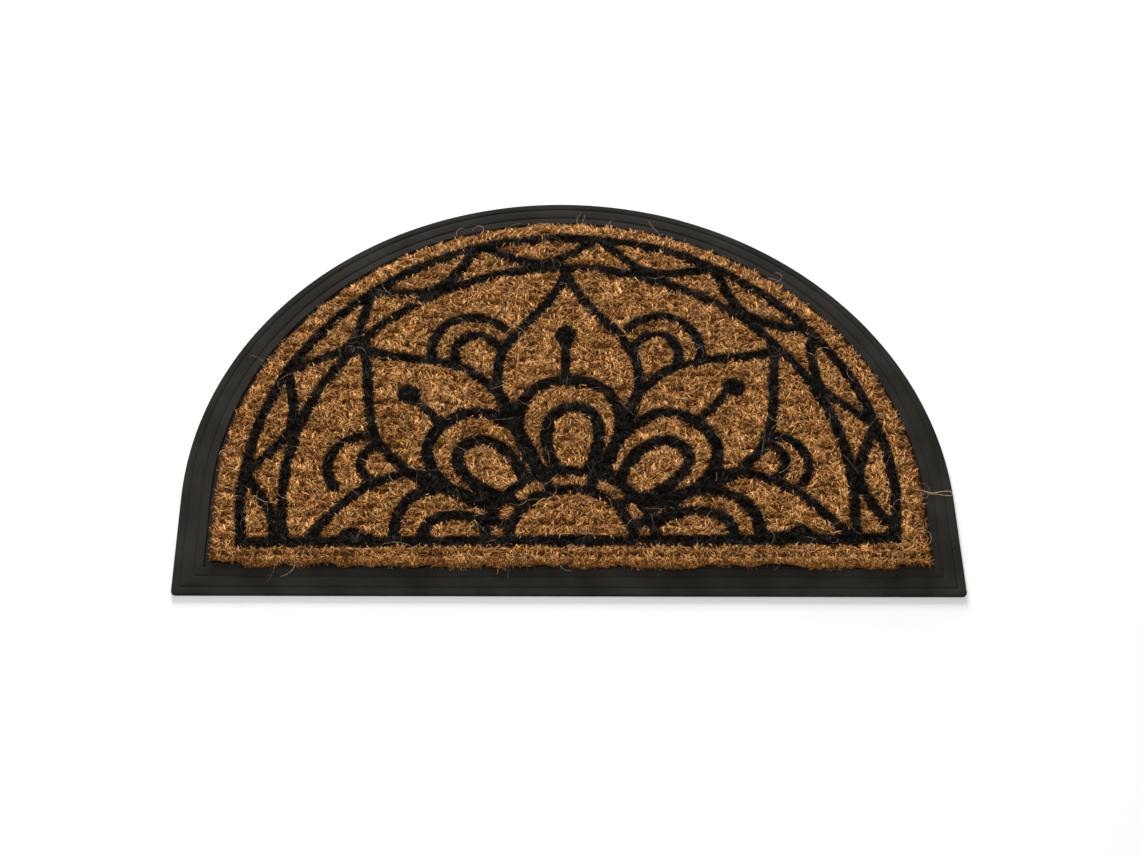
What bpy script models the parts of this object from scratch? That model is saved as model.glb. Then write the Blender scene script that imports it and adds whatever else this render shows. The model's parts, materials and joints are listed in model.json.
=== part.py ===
"""Half-round coir doormat: a moulded rubber tray with a panel of cropped coir pile fused into it.

Metres, +Z up. The origin is on the ground under the middle of the mat. The straight front edge
lies along X on the -Y side, and the round edge is on the +Y side.
"""

import math

import bmesh
import bpy
from mathutils import Vector, noise
from mathutils.geometry import delaunay_2d_cdt

# Outline of the mat: a rectangle with a half circle on its far side
WIDTH = 0.700
DEPTH = 0.450
ARC_RADIUS = WIDTH / 2
CORNER_RADIUS = 0.004
LEAST_CORNER_RADIUS = 0.0004
FRONT_Y = -DEPTH / 2
ARC_CENTRE_Y = FRONT_Y + DEPTH - ARC_RADIUS

# Rubber border, measured inwards from the outer edge
BORDER_WIDTH = 0.0265
EDGE_HEIGHT = 0.0034
LIP_HEIGHT = 0.0050
EDGE_ROUNDING = 0.0007
GROOVE_INSETS = (0.0073, 0.0185)
GROOVE_HALF_WIDTH = 0.0009
GROOVE_DEPTH = 0.0009
RECESS_FLOOR = 0.0020
RECESS_DRAFT = 0.0004

# Coir panel
FLOOR_GAP = 0.0003
SIDE_GAP = 0.0004
PILE_FOOT_INSET = BORDER_WIDTH + RECESS_DRAFT + SIDE_GAP
PILE_LEAN = 0.0012
PILE_TOP = 0.0100
SHOULDER_DROP = 0.0014
SHOULDER_WIDTH = 0.0035
ROW_PITCH = 0.0085
ROW_DEPTH = 0.0009
LUMP_LENGTH = 0.0180
LUMP_HEIGHT = 0.0006
RIM_STEP = 0.0105
RIM_RAGGEDNESS = 0.0007

# Points on a round stretch of each piece
TRAY_ARC_STEPS = 72
TRAY_CORNER_STEPS = 4
PILE_CORNER_STEPS = 2

# Settings of Blender's own tools
SHARP_ANGLE = math.radians(30)
INSIDE_THE_RIM = 1
MERGE_DISTANCE = 1e-7


def clear_scene():
    """Remove every object that the file opened with."""
    for obj in list(bpy.data.objects):
        bpy.data.objects.remove(obj, do_unlink=True)


def arc_points(centre_x, centre_y, radius, start, end, steps):
    """Return the points of an arc, its two ends among them."""
    angles = [start + (end - start) * i / steps for i in range(steps + 1)]
    return [(centre_x + radius * math.cos(a), centre_y + radius * math.sin(a)) for a in angles]


def straight_points(start, end, steps):
    """Return the points between two ends, without the ends."""
    return [
        (start[0] + (end[0] - start[0]) * i / steps, start[1] + (end[1] - start[1]) * i / steps)
        for i in range(1, steps)
    ]


def outline(inset, arc_steps, corner_steps, front_steps=1, side_steps=1):
    """Return the mat's outline, moved inwards, anticlockwise from the front right corner."""
    corner = max(CORNER_RADIUS - inset, LEAST_CORNER_RADIUS)
    half = ARC_RADIUS - inset
    corner_x = half - corner
    corner_y = FRONT_Y + inset + corner
    quarter = math.pi / 2
    right = arc_points(corner_x, corner_y, corner, -quarter, 0.0, corner_steps)
    back = arc_points(0.0, ARC_CENTRE_Y, half, 0.0, math.pi, arc_steps)
    left = arc_points(-corner_x, corner_y, corner, math.pi, math.pi + quarter, corner_steps)
    points = right + straight_points(right[-1], back[0], side_steps) + back
    points += straight_points(back[-1], left[0], side_steps) + left
    return points + straight_points(left[-1], right[0], front_steps)


def border_height(inset):
    """Return the height of the border's top, which climbs gently towards the coir."""
    return EDGE_HEIGHT + (LIP_HEIGHT - EDGE_HEIGHT) * inset / BORDER_WIDTH


def groove_section(centre):
    """Return the section of one V groove as (inset, height) rows."""
    return [
        (centre - GROOVE_HALF_WIDTH, border_height(centre - GROOVE_HALF_WIDTH)),
        (centre, border_height(centre) - GROOVE_DEPTH),
        (centre + GROOVE_HALF_WIDTH, border_height(centre + GROOVE_HALF_WIDTH)),
    ]


def tray_section():
    """Return the rubber's section from its underside, over the border, to the recess."""
    section = [
        (EDGE_ROUNDING, 0.0),
        (0.0, EDGE_ROUNDING),
        (0.0, EDGE_HEIGHT - EDGE_ROUNDING),
        (EDGE_ROUNDING, border_height(EDGE_ROUNDING)),
    ]
    for centre in GROOVE_INSETS:
        section += groove_section(centre)
    section += [
        (BORDER_WIDTH - EDGE_ROUNDING, border_height(BORDER_WIDTH - EDGE_ROUNDING)),
        (BORDER_WIDTH, LIP_HEIGHT - EDGE_ROUNDING),
        (BORDER_WIDTH + RECESS_DRAFT, RECESS_FLOOR),
    ]
    return section


def bridge(mesh, lower, upper):
    """Join two rings of the same number of points with quads that face outwards."""
    count = len(lower)
    for i in range(count):
        after = (i + 1) % count
        mesh.faces.new((lower[i], lower[after], upper[after], upper[i]))


def add_object(name, mesh, material):
    """Turn a bmesh into a named object with its material and smooth, crisp-edged shading."""
    data = bpy.data.meshes.new(name)
    mesh.to_mesh(data)
    mesh.free()
    data.materials.append(material)
    data.shade_smooth()
    data.set_sharp_from_angle(angle=SHARP_ANGLE)
    obj = bpy.data.objects.new(name, data)
    bpy.context.scene.collection.objects.link(obj)
    return obj


def make_material(name, colour, roughness):
    """Return a plain, non-metallic material."""
    material = bpy.data.materials.new(name)
    material.use_nodes = True
    shader = material.node_tree.nodes["Principled BSDF"]
    shader.inputs["Base Color"].default_value = (*colour, 1.0)
    shader.inputs["Roughness"].default_value = roughness
    shader.inputs["Metallic"].default_value = 0.0
    return material


def build_tray():
    """Build the rubber tray: its base, its grooved border and the recess for the coir."""
    mesh = bmesh.new()
    rings = []
    for inset, height in tray_section():
        points = outline(inset, TRAY_ARC_STEPS, TRAY_CORNER_STEPS)
        rings.append([mesh.verts.new((x, y, height)) for x, y in points])
    for lower, upper in zip(rings, rings[1:]):
        bridge(mesh, lower, upper)
    mesh.faces.new(list(reversed(rings[0])))
    mesh.faces.new(rings[-1])
    return add_object("rubber_tray", mesh, make_material("black_rubber", (0.023, 0.022, 0.020), 0.62))


def distance_inside(x, y):
    """Return how far a point lies inside the mat's outer edge."""
    if y > ARC_CENTRE_Y:
        return ARC_RADIUS - math.hypot(x, y - ARC_CENTRE_Y)
    return min(ARC_RADIUS - abs(x), y - FRONT_Y)


def lump(x, y, length):
    """Return a smooth value from about -1 to 1 that wanders over the given length."""
    return noise.noise(Vector((x / length, y / length, 0.0)))


def pile_rim():
    """Return the ragged rim of the coir as (foot point, shoulder point) pairs."""
    inner_radius = ARC_RADIUS - PILE_FOOT_INSET
    side_length = ARC_CENTRE_Y - FRONT_Y - PILE_FOOT_INSET
    steps = {
        "arc_steps": round(math.pi * inner_radius / RIM_STEP),
        "corner_steps": PILE_CORNER_STEPS,
        "front_steps": round(2 * inner_radius / RIM_STEP),
        "side_steps": round(side_length / RIM_STEP),
    }
    feet = outline(PILE_FOOT_INSET, **steps)
    near = outline(PILE_FOOT_INSET + PILE_LEAN - RIM_RAGGEDNESS, **steps)
    far = outline(PILE_FOOT_INSET + PILE_LEAN + RIM_RAGGEDNESS, **steps)
    pairs = []
    for foot, outer, inner in zip(feet, near, far):
        share = min(max(0.5 + lump(foot[0], foot[1], RIM_STEP), 0.0), 1.0)
        shoulder = (
            outer[0] + (inner[0] - outer[0]) * share,
            outer[1] + (inner[1] - outer[1]) * share,
        )
        pairs.append((foot, shoulder))
    return pairs


def pile_height(x, y, in_furrow):
    """Return the height of the cropped coir, lumpy and lower between two rows of tufts."""
    height = PILE_TOP - LUMP_HEIGHT + LUMP_HEIGHT * lump(x, y, LUMP_LENGTH)
    return height - ROW_DEPTH if in_furrow else height


def pile_lattice():
    """Return the points of the coir's top inside its shoulder, row by row along X."""
    points = []
    reach = PILE_FOOT_INSET + PILE_LEAN + SHOULDER_WIDTH
    half_rows = int((DEPTH - 2 * reach) / (ROW_PITCH / 2))
    columns = int((ARC_RADIUS - reach) / LUMP_LENGTH)
    for row in range(half_rows + 1):
        y = FRONT_Y + reach + row * ROW_PITCH / 2
        for column in range(-columns, columns + 1):
            x = column * LUMP_LENGTH
            if distance_inside(x, y) >= reach:
                points.append((x, y, pile_height(x, y, row % 2 == 1)))
    return points


def build_pile():
    """Build the coir panel: its foot, its leaning sides and its rowed top."""
    pairs = pile_rim()
    count = len(pairs)
    lattice = pile_lattice()
    shoulder_height = PILE_TOP - SHOULDER_DROP
    flat_points = [Vector(shoulder) for _, shoulder in pairs]
    flat_points += [Vector((x, y)) for x, y, _ in lattice]
    rim_face = list(range(count))
    flat, _, triangles, sources, _, _ = delaunay_2d_cdt(
        flat_points, [], [rim_face], INSIDE_THE_RIM, MERGE_DISTANCE
    )
    heights = [shoulder_height] * count + [height for _, _, height in lattice]

    mesh = bmesh.new()
    top = [mesh.verts.new((x, y, heights[source[0]])) for (x, y), source in zip(flat, sources)]
    of_source = {source[0]: vertex for vertex, source in zip(top, sources)}
    for triangle in triangles:
        mesh.faces.new([top[i] for i in triangle])
    feet = [mesh.verts.new((x, y, RECESS_FLOOR + FLOOR_GAP)) for (x, y), _ in pairs]
    bridge(mesh, feet, [of_source[i] for i in rim_face])
    mesh.faces.new(list(reversed(feet)))
    return add_object("coir_pile", mesh, make_material("golden_coir", (0.36, 0.20, 0.085), 0.92))


def main():
    """Build the whole mat."""
    clear_scene()
    build_tray()
    build_pile()


main()
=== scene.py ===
"""Looks of a half-round coir doormat.

The rubber tray is finished as one moulded piece with its grooves and its worn, matte skin. The
coir panel is a lumpy bed of rows with cropped fibres planted all over it, and its half-mandala is
dye in those fibres, worked out from circles, petals and swags. A plain floor, soft studio light
and a camera at the photograph's angle complete the scene. Everything is in metres.
"""

import json
import logging
import math
from dataclasses import dataclass, field
from enum import Enum
from typing import Callable, Iterable, Sequence

import bmesh
import bpy
import numpy as np
from mathutils import Euler, Matrix, Quaternion, Vector, kdtree, noise
from mathutils.geometry import delaunay_2d_cdt

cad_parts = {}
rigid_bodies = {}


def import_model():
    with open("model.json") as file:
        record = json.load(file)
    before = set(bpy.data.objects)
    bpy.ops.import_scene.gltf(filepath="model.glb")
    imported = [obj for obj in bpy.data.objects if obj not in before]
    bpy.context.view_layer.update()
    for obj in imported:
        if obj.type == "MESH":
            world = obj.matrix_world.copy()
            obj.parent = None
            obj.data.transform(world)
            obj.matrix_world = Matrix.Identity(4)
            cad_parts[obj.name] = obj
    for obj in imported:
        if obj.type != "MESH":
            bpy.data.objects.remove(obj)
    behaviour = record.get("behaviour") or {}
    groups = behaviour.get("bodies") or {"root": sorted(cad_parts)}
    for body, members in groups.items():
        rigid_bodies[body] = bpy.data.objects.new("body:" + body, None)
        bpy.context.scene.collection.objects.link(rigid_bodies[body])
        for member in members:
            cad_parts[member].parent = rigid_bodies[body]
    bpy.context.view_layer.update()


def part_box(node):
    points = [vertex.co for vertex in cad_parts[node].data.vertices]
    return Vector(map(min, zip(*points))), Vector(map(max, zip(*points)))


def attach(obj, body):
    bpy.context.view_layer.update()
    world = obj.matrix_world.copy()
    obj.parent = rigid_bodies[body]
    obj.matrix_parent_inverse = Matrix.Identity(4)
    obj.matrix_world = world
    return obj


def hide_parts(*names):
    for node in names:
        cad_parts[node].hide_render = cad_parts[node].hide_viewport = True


LOG = logging.getLogger("doormat")
MM = 0.001

Point = tuple[float, float]


class Side(Enum):
    """The left or right half of a mirrored ornament."""

    RIGHT = 1
    LEFT = -1


class Wiring:
    """Adds and links the nodes of one node tree."""

    def __init__(self, tree: bpy.types.NodeTree) -> None:
        """Keep the tree that nodes go to.

        Args:
            tree: A shader or Geometry Nodes tree.
        """
        self.tree = tree

    def node(self, kind: str, inputs: dict | None = None, **settings: object) -> bpy.types.Node:
        """Add one node.

        Args:
            kind: The node's type name.
            inputs: Values or sockets, by the input's name or number.
            settings: Properties of the node itself.

        Returns:
            The new node.
        """
        made = self.tree.nodes.new(kind)
        for name, value in settings.items():
            setattr(made, name, value)
        for key, value in (inputs or {}).items():
            if isinstance(value, bpy.types.NodeSocket):
                self.tree.links.new(value, made.inputs[key])
            else:
                made.inputs[key].default_value = value
        return made

    def maths(self, operation: str, *values: object, clamp: bool = False) -> bpy.types.NodeSocket:
        """Return the result of a Math node on the given numbers or sockets."""
        made = self.node("ShaderNodeMath", dict(enumerate(values)), operation=operation)
        made.use_clamp = clamp
        return made.outputs[0]

    def blend(self, share: object, first: object, second: object) -> bpy.types.NodeSocket:
        """Return a colour that goes from first to second as share goes from 0 to 1."""
        made = self.node("ShaderNodeMix", {0: share, 6: first, 7: second}, data_type="RGBA")
        return made.outputs[2]

    def between(self, value: object, low: float, high: float) -> bpy.types.NodeSocket:
        """Return 0 to 1, smoothly, as value goes from low to high."""
        made = self.node(
            "ShaderNodeMapRange",
            {"Value": value, "From Min": low, "From Max": high},
            interpolation_type="SMOOTHSTEP",
        )
        return made.outputs[0]

    def noise(self, place: object, scale: float, detail: float = 3.0) -> bpy.types.NodeSocket:
        """Return a noise value around one half, at the given number of cycles per metre."""
        made = self.node("ShaderNodeTexNoise", {"Vector": place, "Scale": scale, "Detail": detail})
        return made.outputs["Fac"]


def new_group(name: str, inputs: Sequence[tuple[str, str]], outputs: Sequence[tuple[str, str]]):
    """Make an empty shader group with named sockets.

    Args:
        name: The group's name.
        inputs: Pairs of socket name and socket type.
        outputs: Pairs of socket name and socket type.

    Returns:
        The tree, its input node and its output node.
    """
    tree = bpy.data.node_groups.new(name, "ShaderNodeTree")
    for title, kind in inputs:
        tree.interface.new_socket(title, in_out="INPUT", socket_type=kind)
    for title, kind in outputs:
        tree.interface.new_socket(title, in_out="OUTPUT", socket_type=kind)
    return tree, tree.nodes.new("NodeGroupInput"), tree.nodes.new("NodeGroupOutput")


@dataclass(frozen=True)
class StrandGrain:
    """A group that gives crossing, stretched streaks, like fibres that lie over each other."""

    turns: tuple[float, ...] = (0.15, 0.95, 1.75, 2.6)
    stretch: float = 0.16
    scale: float = 1500.0

    def group(self) -> bpy.types.NodeTree:
        """Return the group, built once."""
        found = bpy.data.node_groups.get("strand_grain")
        if found:
            return found
        tree, entry, leave = new_group(
            "strand_grain", [("Place", "NodeSocketVector")], [("Strand", "NodeSocketFloat")]
        )
        wiring = Wiring(tree)
        best = None
        for turn in self.turns:
            laid = wiring.node(
                "ShaderNodeMapping",
                {
                    "Vector": entry.outputs["Place"],
                    "Rotation": (0.0, 0.0, turn),
                    "Location": (turn, turn * 2, 0.0),
                    "Scale": (1.0, self.stretch, 0.6),
                },
            )
            streak = wiring.noise(laid.outputs[0], self.scale, 1.0)
            best = streak if best is None else wiring.maths("MAXIMUM", best, streak)
        tree.links.new(wiring.between(best, 0.48, 0.74), leave.inputs["Strand"])
        return tree


@dataclass(frozen=True)
class DyedCoirTone:
    """A group that turns a tone and an ink depth into the colour of bare or dyed coir."""

    # deep is the darkest fibres' colour and also the painted shade that low tones give in gaps, hollows
    # and at fibre roots.
    deep: tuple[float, float, float] = (0.016, 0.006, 0.002)
    golden: tuple[float, float, float] = (0.600, 0.245, 0.060)
    straw: tuple[float, float, float] = (0.830, 0.460, 0.165)
    ink: tuple[float, float, float] = (0.0026, 0.0021, 0.0014)
    worn_ink: tuple[float, float, float] = (0.034, 0.028, 0.020)
    ink_edge: float = 0.7 * MM

    def group(self) -> bpy.types.NodeTree:
        """Return the group, built once."""
        found = bpy.data.node_groups.get("dyed_coir_tone")
        if found:
            return found
        tree, entry, leave = new_group(
            "dyed_coir_tone",
            [("Tone", "NodeSocketFloat"), ("Ink Depth", "NodeSocketFloat")],
            [("Color", "NodeSocketColor"), ("Ink", "NodeSocketFloat")],
        )
        wiring = Wiring(tree)
        tone = entry.outputs["Tone"]
        ramp = wiring.node("ShaderNodeValToRGB", {0: tone})
        stops = ramp.color_ramp.elements
        stops[0].color = (*self.deep, 1.0)
        stops[1].color = (*self.straw, 1.0)
        middle = stops.new(0.55)
        middle.color = (*self.golden, 1.0)
        inked = wiring.between(entry.outputs["Ink Depth"], -self.ink_edge, self.ink_edge)
        dark = wiring.blend(
            wiring.maths("POWER", tone, 3.0), (*self.ink, 1.0), (*self.worn_ink, 1.0)
        )
        tree.links.new(wiring.blend(inked, ramp.outputs[0], dark), leave.inputs["Color"])
        tree.links.new(inked, leave.inputs["Ink"])
        return tree


def new_finish(name: str, roughness: float) -> tuple[bpy.types.Material, Wiring, bpy.types.Node]:
    """Make a material with one Principled shader.

    Args:
        name: The material's name.
        roughness: The shader's plain roughness.

    Returns:
        The material, the wiring of its tree and its shader.
    """
    material = bpy.data.materials.new(name)
    material.use_nodes = True
    shader = material.node_tree.nodes["Principled BSDF"]
    shader.inputs["Roughness"].default_value = roughness
    return material, Wiring(material.node_tree), shader


def object_place(wiring: Wiring) -> bpy.types.NodeSocket:
    """Return the Object coordinates of the surface."""
    return wiring.node("ShaderNodeTexCoord").outputs["Object"]


@dataclass(frozen=True)
class MouldedRubber:
    """Matte black rubber with a fine skin, faint streaks and a little fibre dust."""

    black: tuple[float, float, float] = (0.0096, 0.0088, 0.0075)
    grey: tuple[float, float, float] = (0.0164, 0.0151, 0.0130)
    dust: tuple[float, float, float] = (0.060, 0.043, 0.028)
    specular: float = 0.3
    glint: float = 1.08

    def material(self) -> bpy.types.Material:
        """Return the finish as a material."""
        material, wiring, shader = new_finish("moulded_rubber", 0.6)
        place = object_place(wiring)
        cloud = wiring.between(wiring.noise(place, 22.0, 5.0), 0.30, 0.70)
        speck = wiring.between(wiring.noise(place, 2600.0, 2.0), 0.66, 0.74)
        colour = wiring.blend(cloud, (*self.black, 1.0), (*self.grey, 1.0))
        dusty = wiring.maths("MULTIPLY", speck, wiring.noise(place, 60.0, 2.0))
        colour = wiring.blend(dusty, colour, (*self.dust, 1.0))
        link = wiring.tree.links.new
        link(colour, shader.inputs["Base Color"])
        rough = wiring.maths("MULTIPLY_ADD", cloud, 0.10, 0.74)
        link(rough, shader.inputs["Roughness"])
        shader.inputs["Specular IOR Level"].default_value = self.specular
        shader.inputs["IOR"].default_value = self.glint
        skin = wiring.maths("ADD", wiring.noise(place, 1500.0, 3.0), wiring.noise(place, 240.0, 2.0))
        bump = wiring.node("ShaderNodeBump", {"Height": skin, "Strength": 0.35, "Distance": 0.15 * MM})
        link(bump.outputs[0], shader.inputs["Normal"])
        return material


@dataclass(frozen=True)
class CoirBedFinish:
    """The coir between the planted fibres: crossing strands, with painted shade in the gaps between
    them and in the hollows.
    """

    def material(self) -> bpy.types.Material:
        """Return the finish as a material."""
        material, wiring, shader = new_finish("coir_bed", 0.95)
        place = object_place(wiring)
        strand = wiring.node("ShaderNodeGroup", {}, node_tree=StrandGrain().group())
        wiring.tree.links.new(place, strand.inputs["Place"])
        hollow = wiring.node("ShaderNodeAttribute", attribute_name="hollow").outputs["Fac"]
        depth = wiring.node("ShaderNodeAttribute", attribute_name="ink_depth").outputs["Fac"]
        fray = wiring.maths("SUBTRACT", wiring.noise(place, 700.0, 2.0), 0.5)
        depth = wiring.maths("MULTIPLY_ADD", fray, 5.0 * MM, depth)
        # Painted shade: the strands are darkened where the bed lies low (hollow), and the gaps between
        # strands fall to the darkest tone.
        lit = wiring.maths("MULTIPLY", strand.outputs[0], wiring.maths("SUBTRACT", 1.0, hollow))
        tone = wiring.maths("MULTIPLY_ADD", lit, 0.42, 0.02, clamp=True)
        dye = wiring.node("ShaderNodeGroup", {}, node_tree=DyedCoirTone().group())
        link = wiring.tree.links.new
        link(tone, dye.inputs["Tone"])
        link(depth, dye.inputs["Ink Depth"])
        link(dye.outputs["Color"], shader.inputs["Base Color"])
        bump = wiring.node(
            "ShaderNodeBump", {"Height": strand.outputs[0], "Strength": 0.8, "Distance": 0.8 * MM}
        )
        link(bump.outputs[0], shader.inputs["Normal"])
        shader.inputs["IOR"].default_value = 1.1
        return material


@dataclass(frozen=True)
class CoirFibreFinish:
    """One cropped coir fibre: painted shade darker at its root and in hollows and pits, and of its own
    tone.
    """

    name: str = "coir_fibre"
    lift: float = 0.0
    bleach: float = 0.0
    bleached: tuple[float, float, float] = (0.52, 0.48, 0.40)

    def material(self) -> bpy.types.Material:
        """Return the finish as a material."""
        material, wiring, shader = new_finish(self.name, 0.62)
        own = wiring.node("ShaderNodeAttribute", attribute_name="tone").outputs["Fac"]
        along = wiring.node("ShaderNodeAttribute", attribute_name="along").outputs["Fac"]
        depth = wiring.node("ShaderNodeAttribute", attribute_name="ink_depth").outputs["Fac"]
        hollow = wiring.node("ShaderNodeAttribute", attribute_name="hollow").outputs["Fac"]
        place = object_place(wiring)
        # Painted shade: the tone is darkened where the fibre lies low in the bed's hollows and in noise
        # pits between tufts.
        pits = wiring.between(wiring.noise(place, 330.0, 2.0), 0.52, 0.38)
        clump = wiring.noise(place, 90.0, 2.0)
        shade = wiring.maths("MAXIMUM", hollow, pits)
        tone = wiring.maths("MULTIPLY_ADD", wiring.between(own, 0.10, 0.90), 1.45, -0.335 + self.lift)
        # Painted shade: darker towards the root, deep in the pile, and lighter towards the tip.
        tone = wiring.maths("MULTIPLY_ADD", along, 0.40, tone)
        tone = wiring.maths("MULTIPLY_ADD", wiring.maths("SUBTRACT", clump, 0.5), 0.28, tone)
        tone = wiring.maths("MULTIPLY_ADD", shade, -0.88, tone, clamp=True)
        dye = wiring.node("ShaderNodeGroup", {}, node_tree=DyedCoirTone().group())
        link = wiring.tree.links.new
        link(tone, dye.inputs["Tone"])
        link(depth, dye.inputs["Ink Depth"])
        colour = wiring.blend(self.bleach, dye.outputs["Color"], (*self.bleached, 1.0))
        link(colour, shader.inputs["Base Color"])
        shader.inputs["IOR"].default_value = 1.12
        return material


@dataclass(frozen=True)
class PlainFloor:
    """The pale studio floor."""

    colour: tuple[float, float, float] = (0.535, 0.535, 0.535)

    def material(self) -> bpy.types.Material:
        """Return the finish as a material."""
        material, _, shader = new_finish("pale_floor", 0.8)
        shader.inputs["Base Color"].default_value = (*self.colour, 1.0)
        shader.inputs["Specular IOR Level"].default_value = 0.1
        return material


def wander(x: float, y: float, length: float, seed: float = 0.0) -> float:
    """Return a smooth value from about -1 to 1 that changes over the given length."""
    return noise.noise(Vector((x / length, y / length, seed)))


def wander_all(places: np.ndarray, length: float, seed: float = 0.0) -> np.ndarray:
    """Return wander() at every row of an array of x and y."""
    return np.array([wander(x, y, length, seed) for x, y in places])


def arc(centre: Point, radius: float, start: float, end: float, steps: int) -> list[Point]:
    """Return the points of an arc, its ends among them, with angles in radians."""
    angles = [start + (end - start) * i / steps for i in range(steps + 1)]
    return [(centre[0] + radius * math.cos(a), centre[1] + radius * math.sin(a)) for a in angles]


def straight(start: Point, end: Point, steps: int) -> list[Point]:
    """Return the points strictly between two ends."""
    return [
        (start[0] + (end[0] - start[0]) * i / steps, start[1] + (end[1] - start[1]) * i / steps)
        for i in range(1, steps)
    ]


@dataclass(frozen=True)
class MatOutline:
    """The half-round outline, and the curves that run parallel to it."""

    width: float
    depth: float
    corner: float = 4.0 * MM
    least_corner: float = 0.4 * MM

    @property
    def radius(self) -> float:
        """Radius of the round edge."""
        return self.width / 2

    @property
    def front(self) -> float:
        """Y of the straight front edge."""
        return -self.depth / 2

    @property
    def arc_y(self) -> float:
        """Y of the round edge's centre."""
        return self.depth / 2 - self.radius

    def ring(self, inset: float, step: float, corner_steps: int) -> list[Point]:
        """Return a closed curve inside the outline.

        Args:
            inset: Distance inwards from the outer edge.
            step: Spacing of the points, measured on the outer edge.
            corner_steps: Steps round each front corner.

        Returns:
            Points, anticlockwise, with the same count for every inset.
        """
        quarter = math.pi / 2
        half = self.radius - inset
        corner = max(self.corner - inset, self.least_corner)
        x, y = half - corner, self.front + inset + corner
        side_steps = round((self.arc_y - self.front) / step)
        right = arc((x, y), corner, -quarter, 0.0, corner_steps)
        back = arc((0.0, self.arc_y), half, 0.0, math.pi, round(math.pi * self.radius / step))
        left = arc((-x, y), corner, math.pi, math.pi + quarter, corner_steps)
        points = right + straight(right[-1], back[0], side_steps) + back
        points += straight(back[-1], left[0], side_steps) + left
        return points + straight(left[-1], right[0], round(self.width / step))

    def inside(self, places: np.ndarray) -> np.ndarray:
        """Return how far each place lies inside the outer edge."""
        x, y = places[:, 0], places[:, 1]
        round_part = self.radius - np.hypot(x, y - self.arc_y)
        straight_part = np.minimum(self.radius - np.abs(x), y - self.front)
        return np.where(y > self.arc_y, round_part, straight_part)


@dataclass(frozen=True)
class Petal:
    """One petal's half outline as a Bezier, along its axis and out to its side, in millimetres."""

    axis: float
    foot: Point
    foot_pull: Point
    tip_pull: Point
    tip: Point

    def side(self, side: Side, steps: int = 40) -> list[Point]:
        """Return the points of one side, from foot to tip, round the mandala's centre."""
        points = []
        a = math.radians(self.axis)
        for i in range(steps + 1):
            t = i / steps
            weights = ((1 - t) ** 3, 3 * t * (1 - t) ** 2, 3 * t * t * (1 - t), t**3)
            corners = (self.foot, self.foot_pull, self.tip_pull, self.tip)
            along = sum(w * c[0] for w, c in zip(weights, corners))
            out = sum(w * c[1] for w, c in zip(weights, corners)) * side.value
            points.append(
                (along * math.cos(a) - out * math.sin(a), along * math.sin(a) + out * math.cos(a))
            )
        return points


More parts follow.
